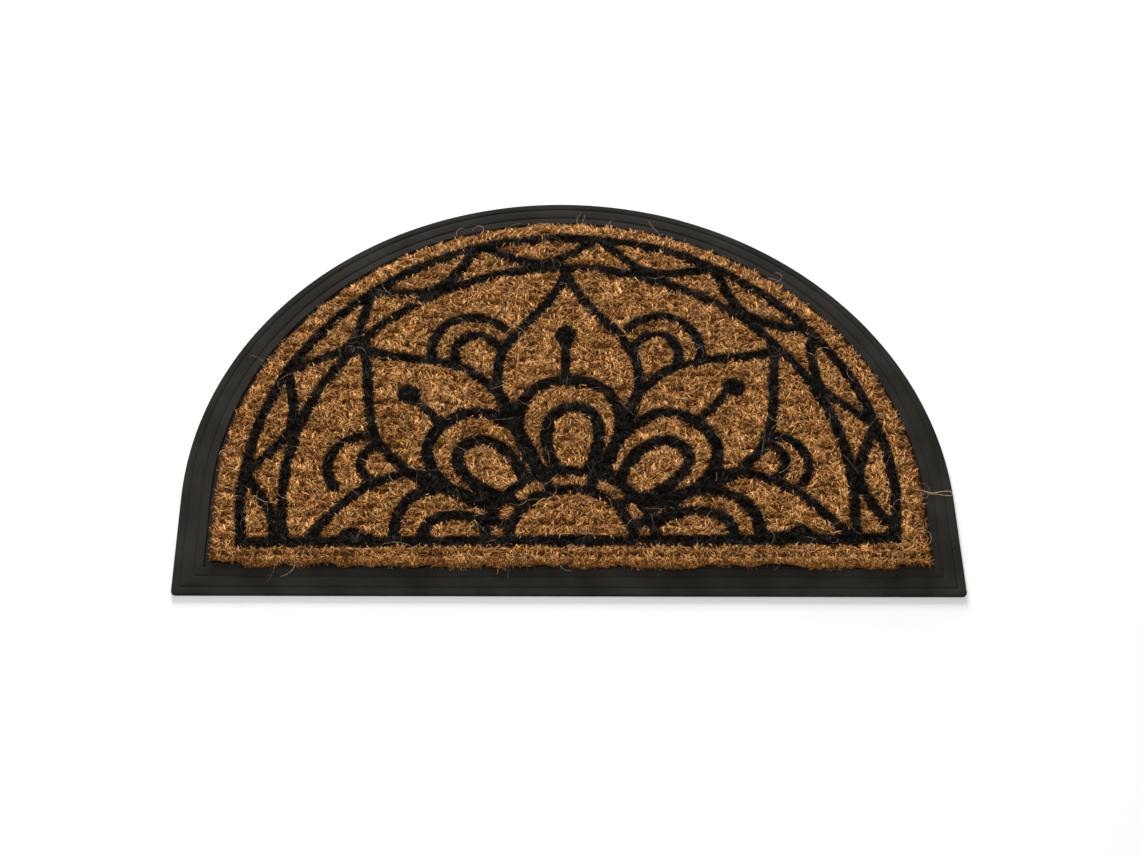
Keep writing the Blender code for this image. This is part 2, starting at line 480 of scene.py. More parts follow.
@dataclass
class HalfMandala:
    """The dyed half-mandala, in millimetres from the middle of its straight base line."""

    centre: Point
    arc_rise: float
    stroke: float = 10.4
    ring_stroke: float = 10.4
    base_stroke: float = 11.8
    loop_stroke: float = 12.2
    outer_radius: float = 301.0
    inner_radius: float = 263.5
    foot_narrowing: float = 3.5
    hub_radii: tuple[float, float] = (57.8, 77.8)
    hub_drop: float = 3.0
    hub_bars: tuple[float, ...] = (17.5, 49.0, 71.5)
    pin_ball: float = 11.5
    pin_stroke: float = 9.6
    pin_root: float = 180.0
    pin_reach: tuple[Point, ...] = (
        (1.0, 211.0),
        (46.6, 231.0),
        (90.4, 228.3),
        (133.3, 220.0),
        (179.0, 200.0),
    )
    swag_pitch: float = 22.9
    swag_start: float = -5.2
    swag_count: int = 4
    swag_depth: float = 30.5
    tilt: float = 0.0095
    side_share: float = 0.982
    sample: float = 1.5
    waver: float = 1.3
    trees: list[tuple[float, kdtree.KDTree]] = field(default_factory=list)

    def pointed_petal(self, axis: float, foot: Point, shoulder: Point, waist: Point, tip: float):
        """Return the strokes of one pointed petal.

        Args:
            axis: Direction of the petal, in degrees from +X.
            foot: Distance and half width where its sides start.
            shoulder: Distance and half width of its widest place.
            waist: Pull of the drawn-in stretch before the tip, as shares of the upper part.
            tip: Distance of its tip.

        Returns:
            Four runs of points: two for each side.
        """
        reach = tip - shoulder[0]
        along, out = shoulder
        swell = (foot[0] + (along - foot[0]) * 0.45, out)
        lower = Petal(axis, foot, (foot[0] + 6.0, foot[1] + 10.0), swell, shoulder)
        pull = (along + waist[0] * reach, waist[1] * out)
        upper = Petal(axis, shoulder, (along + 0.375 * reach, out * 1.03), pull, (tip, 0.0))
        return [part.side(side) for side in Side for part in (lower, upper)]

    def ring_point(self, radius: float, turn: float) -> Point:
        """Return a point on a curve parallel to the mat's edge.

        Args:
            radius: The curve's radius round the centre of the mat's round edge.
            turn: Angle from the top in degrees, positive to the right. Past 90 it is a share of
                the straight side, as if the arc went on at the same pace.

        Returns:
            The point, from the mandala's centre.
        """
        if abs(turn) <= 90.0:
            a = math.radians(90.0 - turn)
            return (radius * math.cos(a), self.arc_rise + radius * math.sin(a))
        down = math.radians(abs(turn) - 90.0) * self.outer_radius
        share = min(down / self.arc_rise, 1.0)
        x = radius - self.foot_narrowing * share
        return (math.copysign(x, turn), self.arc_rise - down)

    def ring(self, radius: float) -> list[Point]:
        """Return the whole curve parallel to the mat's edge, down to the base line."""
        last = 90.0 + math.degrees(self.arc_rise / self.outer_radius)
        return [self.ring_point(radius, -last + 2 * last * i / 400) for i in range(401)]

    def swags(self) -> list[list[Point]]:
        """Return the garland that hangs inwards from the outer ring."""
        half = self.swag_pitch / 2
        runs = []
        for number in range(-self.swag_count, self.swag_count + 1):
            middle = self.swag_start + number * self.swag_pitch
            run = []
            for i in range(61):
                place = -1.0 + i / 30
                dip = self.swag_depth * (1.0 - abs(place) ** 1.7)
                run.append(self.ring_point(self.outer_radius - dip, middle + place * half))
            runs.append(run)
        return runs

    def loops(self) -> list[list[Point]]:
        """Return the round double loops of the first row of petals."""
        runs = []
        inner = ((75.0, 14.0), (98.0, 29.0), (146.0, 32.0), (144.5, 0.0))
        outer = ((75.0, 27.0), (103.0, 56.0), (177.0, 61.0), (176.0, 0.0))
        slanting_inner = ((75.0, 13.5), (98.0, 28.0), (149.0, 31.0), (147.0, 0.0))
        slanting_outer = ((75.0, 29.0), (103.0, 56.0), (179.0, 61.5), (178.0, 0.0))
        low_inner = ((80.0, 20.0), (95.0, 31.0), (150.0, 43.0), (149.0, 0.0))
        low_outer = ((76.0, 35.0), (102.0, 56.0), (177.0, 70.0), (173.0, 0.0))
        # Columns: axis in degrees, share of the full reach, width of the upper and lower side, shape
        for axis, share, upper, lower, shape in (
            (0.0, 1.0, 1.0, 1.0, low_inner),
            (0.0, 1.0, 1.0, 1.0, low_outer),
            (43.4, 0.99, 0.98, 0.90, slanting_inner),
            (44.0, 0.99, 0.97, 0.87, slanting_outer),
            (88.0, 1.0, 1.0, 1.0, inner),
            (89.6, 1.0, 1.0, 1.0, outer),
            (133.8, 0.955, 1.0, 0.88, slanting_inner),
            (133.8, 0.965, 0.98, 0.85, slanting_outer),
            (180.0, 0.875, 0.90, 1.0, low_inner),
            (180.0, 0.92, 1.05, 1.0, low_outer),
        ):
            for side in Side:
                width = lower if side.value * (axis - 90.0) > 0 else upper
                drawn = [
                    (75.0 + (along - 75.0) * (share * 1.74 - 0.74), out * width)
                    for along, out in shape
                ]
                runs.append(Petal(axis, *drawn).side(side))
        return runs

    def lobes(self) -> list[list[Point]]:
        """Return the double round lobes that fill the spaces between the pointed petals."""
        runs = []
        # Columns: right x, left x, centre y, radius, first angle, last angle, in degrees
        table = (
            (89.5, 91.0, 211.5, 39.5, -12.0, 140.0),
            (85.5, 87.0, 207.0, 22.0, -22.0, 150.0),
            (189.5, 190.0, 79.5, 33.5, -40.0, 98.0),
            (182.5, 174.5, 83.0, 19.0, -62.0, 78.0),
        )
        for right, left, y, radius, start, end in table:
            run = arc((0.0, y), radius, math.radians(start), math.radians(end), 60)
            runs += [[(right + px, py) for px, py in run], [(-left - px, py) for px, py in run]]
        return runs

    def hub(self) -> list[list[Point]]:
        """Return the two half circles at the middle and the bars between them."""
        middle = (0.0, -self.hub_drop)
        runs = [arc(middle, radius, 0.0, math.pi, 90) for radius in self.hub_radii]
        for turn in self.hub_bars:
            for side in Side:
                a = math.radians(90.0 + side.value * turn)
                ends = [
                    (r * math.cos(a), r * math.sin(a) - self.hub_drop) for r in self.hub_radii
                ]
                runs.append([ends[0], *straight(ends[0], ends[1], 12), ends[1]])
        return runs

    def pointed_petals(self) -> list[list[Point]]:
        """Return the strokes of the five pointed petals."""
        runs = self.pointed_petal(90.0, (128.0, 50.0), (182.0, 67.5), (0.57, 0.24), 305.0)
        runs += self.pointed_petal(46.0, (128.0, 50.0), (184.0, 63.0), (0.60, 0.34), 293.0)
        runs += self.pointed_petal(132.8, (128.0, 50.0), (184.0, 60.0), (0.60, 0.30), 291.5)
        runs += self.pointed_petal(0.0, (127.0, 61.0), (150.0, 72.0), (0.71, 0.55), 258.0)
        runs += self.pointed_petal(180.0, (127.0, 61.0), (147.0, 70.5), (0.71, 0.53), 240.0)
        return runs

    def pins(self) -> tuple[list[list[Point]], list[list[Point]]]:
        """Return the pins' stems and the middles of their balls."""
        stems, balls = [], []
        for axis, reach in self.pin_reach:
            a = math.radians(axis)
            first, last = [(r * math.cos(a), r * math.sin(a)) for r in (self.pin_root, reach)]
            stems.append([first, *straight(first, last, 30), last])
            balls.append([last])
        return stems, balls

    def strokes(self) -> list[tuple[float, list[list[Point]]]]:
        """Return every stroke's centre line, grouped by half width."""
        last = self.outer_radius - self.foot_narrowing
        rings = [self.ring(self.outer_radius), self.ring(self.inner_radius)]
        base = [(-last, 0.0), *straight((-last, 0.0), (last, 0.0), 400), (last, 0.0)]
        plain = self.hub() + self.lobes() + self.swags() + self.pointed_petals()
        stems, balls = self.pins()
        return [
            (self.stroke / 2, plain),
            (self.ring_stroke / 2, rings),
            (self.base_stroke / 2, [base]),
            (self.loop_stroke / 2, self.loops()),
            (self.pin_stroke / 2, stems),
            (self.pin_ball, balls),
        ]

    def prepare(self) -> None:
        """Fill a search tree of stroke points for each half width."""
        for half_width, runs in self.strokes():
            places = [p for run in runs for p in self.resampled(run) if p[1] >= -0.01]
            tree = kdtree.KDTree(len(places))
            for number, (x, y) in enumerate(places):
                tree.insert((x, y, 0.0), number)
            tree.balance()
            self.trees.append((half_width, tree))

    def resampled(self, run: list[Point]) -> list[Point]:
        """Return a run's points with none further apart than the sample length."""
        points = list(run[:1])
        for before, after in zip(run, run[1:]):
            gap = math.dist(before, after)
            points += straight(before, after, max(1, math.ceil(gap / self.sample)))
            points.append(after)
        return points

    def ink_depth(self, places: np.ndarray) -> np.ndarray:
        """Return how deep inside a stroke each place lies.

        Args:
            places: Rows of x and y, in metres in the mat's frame.

        Returns:
            Metres: above 0 inside the dye, below 0 on bare coir.
        """
        if not self.trees:
            self.prepare()
        depths = np.empty(len(places))
        for number, (x, y) in enumerate(places):
            u = (x / MM - self.centre[0]) + self.waver * wander(x, y, 45 * MM, 3.0)
            v = (y / MM - self.centre[1]) + self.waver * wander(x, y, 45 * MM, 7.0)
            v -= self.tilt * u
            u /= self.side_share
            depth = max(half - tree.find((u, v, 0.0))[2] for half, tree in self.trees)
            depth = min(depth, v + self.base_stroke / 2)
            depths[number] = min(max(depth, -8.0), 8.0) * MM
        return depths


def add_mesh(name: str, mesh: bmesh.types.BMesh, material: bpy.types.Material) -> bpy.types.Object:
    """Turn a bmesh into a smooth-shaded object with one material, and free the bmesh."""
    data = bpy.data.meshes.new(name)
    mesh.to_mesh(data)
    mesh.free()
    data.materials.append(material)
    data.shade_smooth()
    made = bpy.data.objects.new(name, data)
    bpy.context.scene.collection.objects.link(made)
    return made


def bridge(mesh: bmesh.types.BMesh, lower: Sequence, upper: Sequence) -> None:
    """Join two closed rings of the same number of points with quads that face outwards."""
    count = len(lower)
    for i in range(count):
        after = (i + 1) % count
        mesh.faces.new((lower[i], lower[after], upper[after], upper[i]))


@dataclass
class RubberTray:
    """The moulded tray: base, grooved border, and the recess that holds the coir."""

    outline: MatOutline
    border: float = 26.5 * MM
    edge_height: float = 3.4 * MM
    lip_height: float = 5.0 * MM
    rounding: float = 0.7 * MM
    groove_insets: tuple[float, ...] = (7.3 * MM, 18.5 * MM)
    groove_half: float = 0.95 * MM
    groove_depth: float = 0.95 * MM
    floor: float = 2.0 * MM
    draft: float = 0.4 * MM
    step: float = 4.2 * MM
    corner_steps: int = 6
    height_waver: float = 0.10 * MM
    path_waver: float = 0.28 * MM
    lip_waver: float = 0.55 * MM

    def top(self, inset: float) -> float:
        """Return the height of the border at an inset."""
        return self.edge_height + (self.lip_height - self.edge_height) * inset / self.border

    def groove(self, centre: float) -> list[Point]:
        """Return the section of one groove with softened shoulders."""
        rows = []
        for share, drop in ((-1.6, 0.0), (-1.0, 0.12), (-0.35, 0.85), (0.0, 1.0), (0.35, 0.85)):
            inset = centre + share * self.groove_half
            rows.append((inset, self.top(inset) - drop * self.groove_depth))
        for share, drop in ((1.0, 0.12), (1.6, 0.0)):
            inset = centre + share * self.groove_half
            rows.append((inset, self.top(inset) - drop * self.groove_depth))
        return rows

    def section(self) -> list[Point]:
        """Return the section as (inset, height) rows, from the underside to the recess."""
        quarter = [math.radians(a) for a in (0, 30, 60, 90)]
        r = self.rounding
        rows = [(r, 0.0)]
        rows += [(r - r * math.sin(a), r - r * math.cos(a)) for a in quarter[1:]]
        rows += [(r - r * math.cos(a), self.edge_height - r + r * math.sin(a)) for a in quarter]
        rows.append((r + 0.5 * MM, self.top(r + 0.5 * MM)))
        for centre in self.groove_insets:
            rows += self.groove(centre)
        wall, lip = self.border, self.top(self.border - r)
        rows.append((wall - r - 0.5 * MM, self.top(wall - r - 0.5 * MM)))
        rows += [(wall - r + r * math.sin(a), lip - r + r * math.cos(a)) for a in quarter]
        rows.append((wall + self.draft, self.floor))
        return rows

    def build(self, material: bpy.types.Material) -> bpy.types.Object:
        """Return the tray as one closed mesh."""
        mesh = bmesh.new()
        rings = []
        rows = self.section()
        for inset, height in rows:
            ring = []
            inner = max(inset - (self.border - 2 * self.rounding), 0.0) / (2 * self.rounding)
            on_top = height > self.edge_height * 0.9
            middle = self.outline.ring(inset, self.step, self.corner_steps)
            nearer = self.outline.ring(inset + MM, self.step, self.corner_steps)
            for (x, y), (nx, ny) in zip(middle, nearer):
                shift = self.path_waver * wander(x, y, 60 * MM, inset * 400) if on_top else 0.0
                shift += min(inner, 1.0) * self.lip_waver * wander(x, y, 14 * MM, 5.0)
                lift = self.height_waver * wander(x, y, 38 * MM, 2.0) if on_top else 0.0
                dx, dy = (nx - x) / MM, (ny - y) / MM
                ring.append(mesh.verts.new((x + dx * shift, y + dy * shift, height + lift)))
            rings.append(ring)
        for lower, upper in zip(rings, rings[1:]):
            bridge(mesh, lower, upper)
        mesh.faces.new(list(reversed(rings[0])))
        mesh.faces.new(rings[-1])
        made = add_mesh("rubber_moulding", mesh, material)
        made.data.set_sharp_from_angle(angle=math.radians(50))
        return made


@dataclass
class CoirBed:
    """The body of the coir panel: rows of tufts, lumps, pits, and a ragged, leaning rim."""

    outline: MatOutline
    mandala: HalfMandala
    foot_inset: float = 27.3 * MM
    foot_height: float = 2.3 * MM
    lean: float = 1.6 * MM
    set_over: float = 2.4 * MM
    set_forward: float = 1.6 * MM
    undercut: float = 1.6 * MM
    top: float = 9.3 * MM
    shoulder: float = 8.0 * MM
    waist: float = 5.6 * MM
    grid: float = 2.0 * MM
    rim_step: float = 2.0 * MM
    row_pitch: float = 8.25 * MM
    row_start: float = 3.2 * MM
    tuft_pitch: float = 19.0 * MM

    def top_height(self, places: np.ndarray) -> np.ndarray:
        """Return the height of the bed's top at each place."""
        x, y = places[:, 0], places[:, 1]
        drift = 1.8 * MM * wander_all(places, 45 * MM, 11.0)
        row = (y + drift - self.row_start) / self.row_pitch
        usual = np.where(np.round(row) % 2 == 1, 1.40, 0.60)
        strength = np.clip(usual + 0.9 * wander_all(places, 13 * MM, 21.0), 0.1, 1.4)
        furrow = (0.5 + 0.5 * np.cos(2 * np.pi * row)) ** 2 * strength
        tuft_drift = 3.0 * MM * wander_all(places, 16 * MM, 4.0)
        tuft = (x + tuft_drift) / (1.15 * self.row_pitch) + 0.5 * np.floor(row)
        parting = (0.5 + 0.5 * np.cos(2 * np.pi * tuft)) ** 4
        lumps = 0.75 * MM * wander_all(places, 15 * MM, 1.0)
        crumbs = 0.75 * MM * wander_all(places * (0.6, 1.0), 3.3 * MM, 8.0)
        return self.top - 2.4 * MM * furrow - 0.6 * MM * parting + lumps + crumbs

    def offset(self, x: float | np.ndarray, y: float | np.ndarray) -> float | np.ndarray:
        """Return how far the panel's edge stands back, most at the left and at the back."""
        sideways = (1.0 - x / self.outline.radius) / 2
        backwards = (y - self.outline.front) / self.outline.depth
        return self.set_over * sideways + self.set_forward * backwards

    def rim(self, inset: float, raggedness: float, least: float = -9 * MM) -> list[Point]:
        """Return the ragged edge of the coir.

        Args:
            inset: Distance from the mat's outer edge.
            raggedness: Share of the full raggedness.
            least: Least shift inwards.

        Returns:
            Points, anticlockwise.
        """
        base = self.outline.ring(inset, self.rim_step, 2)
        nearer = self.outline.ring(inset + MM, self.rim_step, 2)
        points = []
        for (x, y), (nx, ny) in zip(base, nearer):
            shift = 1.8 * MM * wander(x, y, 12 * MM, 1.0) + 0.9 * MM * wander(x, y, 3.5 * MM, 2.0)
            if y < self.outline.front + 2 * inset and abs(x) < self.outline.radius - 2 * inset:
                shift += 5.5 * MM * wander(x, y, self.tuft_pitch, 9.0) - 2.6 * MM
                shift -= self.offset(x, y)
            shift = max(shift * raggedness + self.offset(x, y), least)
            points.append((x + (nx - x) / MM * shift, y + (ny - y) / MM * shift))
        return points

    def lattice(self, reach: float) -> np.ndarray:
        """Return a grid of places at least reach inside the mat's outer edge."""
        xs = np.arange(-self.outline.radius, self.outline.radius, self.grid)
        ys = np.arange(self.outline.front, self.outline.depth / 2, self.grid)
        grid = np.array([(x, y) for y in ys for x in xs])
        return grid[self.outline.inside(grid) - self.offset(grid[:, 0], grid[:, 1]) > reach]

    def build(self, material: bpy.types.Material) -> bpy.types.Object:
        """Return the bed as one closed mesh with its ink and hollow attributes."""
        edge = self.foot_inset + self.lean
        shoulder = self.rim(edge, 1.0)
        waist = self.rim(edge + self.undercut, 1.0)
        feet = self.rim(edge + self.undercut, 1.0, 0.0)
        lattice = self.lattice(edge + 3.2 * MM)
        heights = self.top_height(lattice)
        count = len(shoulder)
        flat = [Vector(p) for p in shoulder] + [Vector(p) for p in lattice]
        points, _, triangles, sources, _, _ = delaunay_2d_cdt(flat, [], [list(range(count))], 1, 1e-7)
        high = np.concatenate([np.full(count, self.shoulder), heights])
        mesh = bmesh.new()
        top = [mesh.verts.new((p.x, p.y, high[s[0]])) for p, s in zip(points, sources)]
        by_source = {s[0]: v for v, s in zip(top, sources)}
        for triangle in triangles:
            mesh.faces.new([top[i] for i in triangle])
        middle = [mesh.verts.new((x, y, self.waist)) for x, y in waist]
        base = [mesh.verts.new((x, y, self.foot_height)) for x, y in feet]
        bridge(mesh, middle, [by_source[i] for i in range(count)])
        bridge(mesh, base, middle)
        mesh.faces.new(list(reversed(base)))
        made = add_mesh("coir_bed", mesh, material)
        self.add_attributes(made.data)
        return made

    def add_attributes(self, data: bpy.types.Mesh) -> None:
        """Store the ink depth, the hollowness and the fibres' growth at every point of the bed."""
        places = np.empty(len(data.vertices) * 3)
        data.vertices.foreach_get("co", places)
        places = places.reshape(-1, 3)
        depth = self.mandala.ink_depth(places[:, :2])
        # hollow: depth below the bed's top; it thins and shortens the pile, and the finishes paint
        # shade with it.
        drop = (self.top - places[:, 2]) / (1.7 * MM)
        hollow = np.clip(drop, 0.0, 1.0)
        inset = self.foot_inset + self.lean + self.offset(places[:, 0], places[:, 1])
        reach = (self.outline.inside(places[:, :2]) - inset) / (7 * MM)
        within = np.clip(reach, 0.0, 1.0)
        growth = (0.50 + 0.50 * within) * (1.0 - 0.4 * hollow * within)
        for name, values in (("ink_depth", depth), ("hollow", hollow), ("growth", growth)):
            data.attributes.new(name, "FLOAT", "POINT").data.foreach_set("value", values)


@dataclass(frozen=True)
class FibreShape:
    """One fibre of length 1 that grows along +Z from just under its root."""

    rings: int
    slimness: float
    bend: float
    buried: float = 0.15

    def build(self, name: str) -> bpy.types.Object:
        """Return the fibre as an object of its own, with an attribute along its length."""
        places, along, faces = self.spindle() if self.rings else self.sliver()
        data = bpy.data.meshes.new(name)
        data.from_pydata([tuple(p) for p in places], [], faces)
        data.attributes.new("along", "FLOAT", "POINT").data.foreach_set("value", along)
        data.shade_smooth()
        return bpy.data.objects.new(name, data)

    def sliver(self) -> tuple[list[Vector], list[float], list[tuple[int, int, int]]]:
        """Return a straight, closed sliver of four faces: its points, shares and faces."""
        wide, low, high = self.slimness, -self.buried, 1.0 - self.buried
        places = [
            Vector((wide, 0.0, low)),
            Vector((-wide, 0.0, low)),
            Vector((self.bend, wide * 0.7, high)),
            Vector((self.bend, -wide * 0.7, high)),
        ]
        return places, [0.0, 0.0, 1.0, 1.0], [(0, 2, 1), (0, 1, 3), (0, 3, 2), (1, 2, 3)]

    def spindle(self) -> tuple[list[Vector], list[float], list[tuple[int, int, int]]]:
        """Return a bent, closed spindle: its points, their shares of its length and its faces."""
        steps = self.rings + 1
        places, along, faces = [], [], []
        for step in range(steps + 1):
            t = step / steps
            centre = Vector((self.bend * t * t, 0.0, t - self.buried))
            if step in (0, steps):
                places.append(centre)
                along.append(t)
                continue
            for corner in range(3):
                a = 2 * math.pi * corner / 3 + 0.6 * step
                places.append(centre + self.slimness * Vector((math.cos(a), math.sin(a), 0.0)))
                along.append(t)
        first, last = 1, 1 + 3 * (self.rings - 1)
        tip = len(places) - 1
        for corner in range(3):
            after = (corner + 1) % 3
            faces.append((0, first + after, first + corner))
            for ring in range(self.rings - 1):
                low, high = first + 3 * ring, first + 3 * ring + 3
                faces.append((low + corner, low + after, high + after))
                faces.append((low + corner, high + after, high + corner))
            faces.append((last + corner, last + after, tip))
        return places, along, faces


@dataclass
class FibreKit:
    """A small set of differently bent fibres that the planting picks from."""

    name: str
    rings: int
    slimness: tuple[float, float]
    bends: tuple[float, float]
    count: int = 10

    def collection(self) -> bpy.types.Collection:
        """Return the fibres in a collection of their own, outside the scene."""
        kit = bpy.data.collections.new(self.name)
        for number in range(self.count):
            share = number / (self.count - 1)
            swap = (number * 7 % self.count) / (self.count - 1)
            slim = self.slimness[0] + (self.slimness[1] - self.slimness[0]) * swap
            bend = self.bends[0] + (self.bends[1] - self.bends[0]) * share
            kit.objects.link(FibreShape(self.rings, slim, bend).build(f"{self.name}_{number}"))
        return kit


@dataclass
class Planting:
    """Plants fibres over the bed with a Geometry Nodes tree."""

    bed: bpy.types.Object
    tree: bpy.types.NodeTree | None = None

    def build_tree(self) -> bpy.types.NodeTree:
        """Build the tree once: scatter, lean, pick a fibre, keep its tone and dye."""
        tree = bpy.data.node_groups.new("coir_planting", "GeometryNodeTree")
        face = tree.interface
        sockets = (
            ("Surface", "NodeSocketGeometry"),
            ("Fibres", "NodeSocketCollection"),
            ("Density", "NodeSocketFloat"),
            ("Shortest", "NodeSocketFloat"),
            ("Longest", "NodeSocketFloat"),
            ("Least Lean", "NodeSocketFloat"),
            ("Most Lean", "NodeSocketFloat"),
            ("Clump Turn", "NodeSocketFloat"),
            ("Dye Scatter", "NodeSocketFloat"),
            ("Seed", "NodeSocketInt"),
            ("Finish", "NodeSocketMaterial"),
        )
        for title, kind in sockets:
            face.new_socket(title, in_out="INPUT", socket_type=kind)
        face.new_socket("Pile", in_out="OUTPUT", socket_type="NodeSocketGeometry")
        wiring = Wiring(tree)
        entry = wiring.node("NodeGroupInput").outputs
        upward = wiring.node("GeometryNodeInputNormal").outputs[0]
        facing = wiring.node("ShaderNodeSeparateXYZ", {0: upward}).outputs[2]
        showing = wiring.node("FunctionNodeCompare", {0: facing, 1: 0.3}, operation="GREATER_THAN")
        thinned = wiring.maths("MULTIPLY_ADD", self.attribute(wiring, "hollow"), -0.85, 1.0)
        scatter = wiring.node(
            "GeometryNodeDistributePointsOnFaces",
            {
                "Mesh": entry["Surface"],
                "Selection": showing.outputs[0],
                "Density": wiring.maths("MULTIPLY", entry["Density"], thinned),
                "Seed": entry["Seed"],
            },
        )
        position = wiring.node("GeometryNodeInputPosition").outputs[0]
        swirl = wiring.noise(position, 55.0, 2.0)
        own_turn = self.chance(wiring, 0.0, entry["Clump Turn"], entry["Seed"], 1)
        turn = wiring.maths("MULTIPLY_ADD", swirl, 25.0, own_turn)
        lean = self.chance(wiring, entry["Least Lean"], entry["Most Lean"], entry["Seed"], 2)
        twist = self.chance(wiring, -1.5, 1.5, entry["Seed"], 3)
        out = wiring.node("ShaderNodeVectorMath", {0: scatter.outputs["Normal"], 1: (0, 0, 1.3)})
        upright = wiring.node(
            "FunctionNodeAlignRotationToVector", {"Vector": out.outputs[0]}, axis="Z"
        )
        pose = upright.outputs[0]
        for axis, angle in (((0, 0, 1), turn), ((0, 1, 0), lean), ((0, 0, 1), twist)):
            step = wiring.node("FunctionNodeAxisAngleToRotation", {"Axis": axis, "Angle": angle})
            pose = wiring.node(
                "FunctionNodeRotateRotation",
                {0: pose, 1: step.outputs[0]},
                rotation_space="LOCAL",
            ).outputs[0]
        length = self.chance(wiring, entry["Shortest"], entry["Longest"], entry["Seed"], 4)
        length = wiring.maths("MULTIPLY", length, self.attribute(wiring, "growth"))
        kit = wiring.node(
            "GeometryNodeCollectionInfo",
            {"Collection": entry["Fibres"], "Separate Children": True, "Reset Children": True},
        )
        pick = wiring.node("FunctionNodeRandomValue", {4: 0, 5: 9, 8: 5}, data_type="INT")
        planted = wiring.node(
            "GeometryNodeInstanceOnPoints",
            {
                "Points": scatter.outputs["Points"],
                "Instance": kit.outputs[0],
                "Pick Instance": True,
                "Instance Index": pick.outputs[2],
                "Rotation": pose,
                "Scale": length,
            },
        )
        tone = self.chance(wiring, 0.0, 1.0, entry["Seed"], 6)
        toned = wiring.node(
            "GeometryNodeStoreNamedAttribute",
            {"Geometry": planted.outputs[0], "Name": "tone", "Value": tone},
            data_type="FLOAT",
            domain="INSTANCE",
        )
        stray = self.chance(wiring, -1.0, 1.0, entry["Seed"], 7)
        marked = wiring.node(
            "GeometryNodeStoreNamedAttribute",
            {"Geometry": toned.outputs[0], "Name": "stray", "Value": stray},
            data_type="FLOAT",
            domain="INSTANCE",
        )
        real = wiring.node("GeometryNodeRealizeInstances", {0: marked.outputs[0]})
        own_stray = self.attribute(wiring, "stray")
        scatter_now = wiring.maths("MULTIPLY", own_stray, entry["Dye Scatter"])
        depth = wiring.maths("ADD", self.under(wiring, entry["Surface"], "ink_depth"), scatter_now)
        dyed = self.store(wiring, real.outputs[0], "ink_depth", depth)
        # Carry the bed's hollowness onto the fibres, where the finish paints shade with it.
        shade_marked = self.store(wiring, dyed, "hollow", self.under(wiring, entry["Surface"], "hollow"))
        dressed = wiring.node(
            "GeometryNodeSetMaterial", {"Geometry": shade_marked, "Material": entry["Finish"]}
        )
        wiring.node("NodeGroupOutput", {"Pile": dressed.outputs[0]})
        return tree

    def attribute(self, wiring: Wiring, name: str) -> bpy.types.NodeSocket:
        """Return a named number of the geometry."""
        made = wiring.node("GeometryNodeInputNamedAttribute", {"Name": name}, data_type="FLOAT")
        return made.outputs[0]

    def under(
        self, wiring: Wiring, surface: bpy.types.NodeSocket, name: str
    ) -> bpy.types.NodeSocket:
        """Return a named number of the bed, at the place of the bed that is nearest."""
        made = wiring.node(
            "GeometryNodeSampleNearestSurface",
            {"Mesh": surface, "Value": self.attribute(wiring, name)},
            data_type="FLOAT",
        )
        return made.outputs[0]

    def store(
        self, wiring: Wiring, geometry: bpy.types.NodeSocket, name: str, value: bpy.types.NodeSocket
    ) -> bpy.types.NodeSocket:
        """Keep a number at every point of the geometry."""
        made = wiring.node(
            "GeometryNodeStoreNamedAttribute",
            {"Geometry": geometry, "Name": name, "Value": value},
            data_type="FLOAT",
            domain="POINT",
        )
        return made.outputs[0]

    def chance(
        self, wiring: Wiring, low: object, high: object, seed: bpy.types.NodeSocket, shift: int
    ) -> bpy.types.NodeSocket:
        """Return a random number for each fibre, from low to high."""
        own_seed = wiring.maths("ADD", seed, shift * 101)
        made = wiring.node("FunctionNodeRandomValue", {2: low, 3: high, 8: own_seed}, data_type="FLOAT")
        return made.outputs[1]

    def plant(self, name: str, material: bpy.types.Material, **values: object) -> bpy.types.Object:
        """Run the tree over the bed and keep its result as a plain mesh.

        Args:
            name: The new piece's name.
            material: The fibres' finish.
            values: The tree's inputs, with underscores for spaces.

        Returns:
            The piece.
        """
        if self.tree is None:
            self.tree = self.build_tree()
        source = bpy.data.objects.new(name, self.bed.data)
        bpy.context.scene.collection.objects.link(source)
        modifier = source.modifiers.new("planting", "NODES")
        modifier.node_group = self.tree
        asked = {key.replace("_", " "): value for key, value in values.items()}
        asked["Finish"] = material
        for item in self.tree.interface.items_tree:
            if item.in_out == "INPUT" and item.name in asked:
                modifier[item.identifier] = asked[item.name]
        shown = bpy.context.evaluated_depsgraph_get()
        mesh = bpy.data.meshes.new_from_object(
            source.evaluated_get(shown), preserve_all_data_layers=True, depsgraph=shown
        )
        mesh.name = name
        source.modifiers.clear()
        source.data = mesh
        return source


def spread_bake_map(piece: bpy.types.Object, points_each: int) -> None:
    """Give every fibre of a piece a small square of its own on a UV map.

    Args:
        piece: A mesh of fibres that all have the same number of points.
        points_each: Points of one fibre.
    """
    data = piece.data
    fibres = len(data.vertices) // points_each
    side = math.ceil(math.sqrt(fibres))
    corners = np.empty(len(data.loops), dtype=np.int64)
    data.loops.foreach_get("vertex_index", corners)
    fibre, point = corners // points_each, corners % points_each
    share = point / (points_each - 1)
    u = (fibre % side + 0.15 + 0.7 * share) / side
    v = (fibre // side + 0.15 + 0.7 * ((point * 2) % 3) / 2) / side
    layer = data.uv_layers.new(name="OFBake")
    layer.data.foreach_set("uv", np.column_stack([u, v]).ravel())


# The long hairpin of fibre that lies across the border on the right, in millimetres
HAIRPIN = (
    (314.0, -117.0, 9.4),
    (322.7, -118.1, 8.2),
    (329.4, -118.9, 6.2),
    (333.0, -118.7, 5.7),
    (338.5, -117.0, 5.3),
    (344.0, -116.2, 4.9),
    (347.6, -115.9, 4.5),
    (349.4, -118.1, 4.2),
    (348.6, -120.7, 4.3),
    (343.0, -120.9, 4.8),
    (336.7, -120.0, 5.3),
    (330.3, -119.8, 6.0),
    (323.2, -120.0, 8.0),
    (315.0, -121.5, 9.4),
)


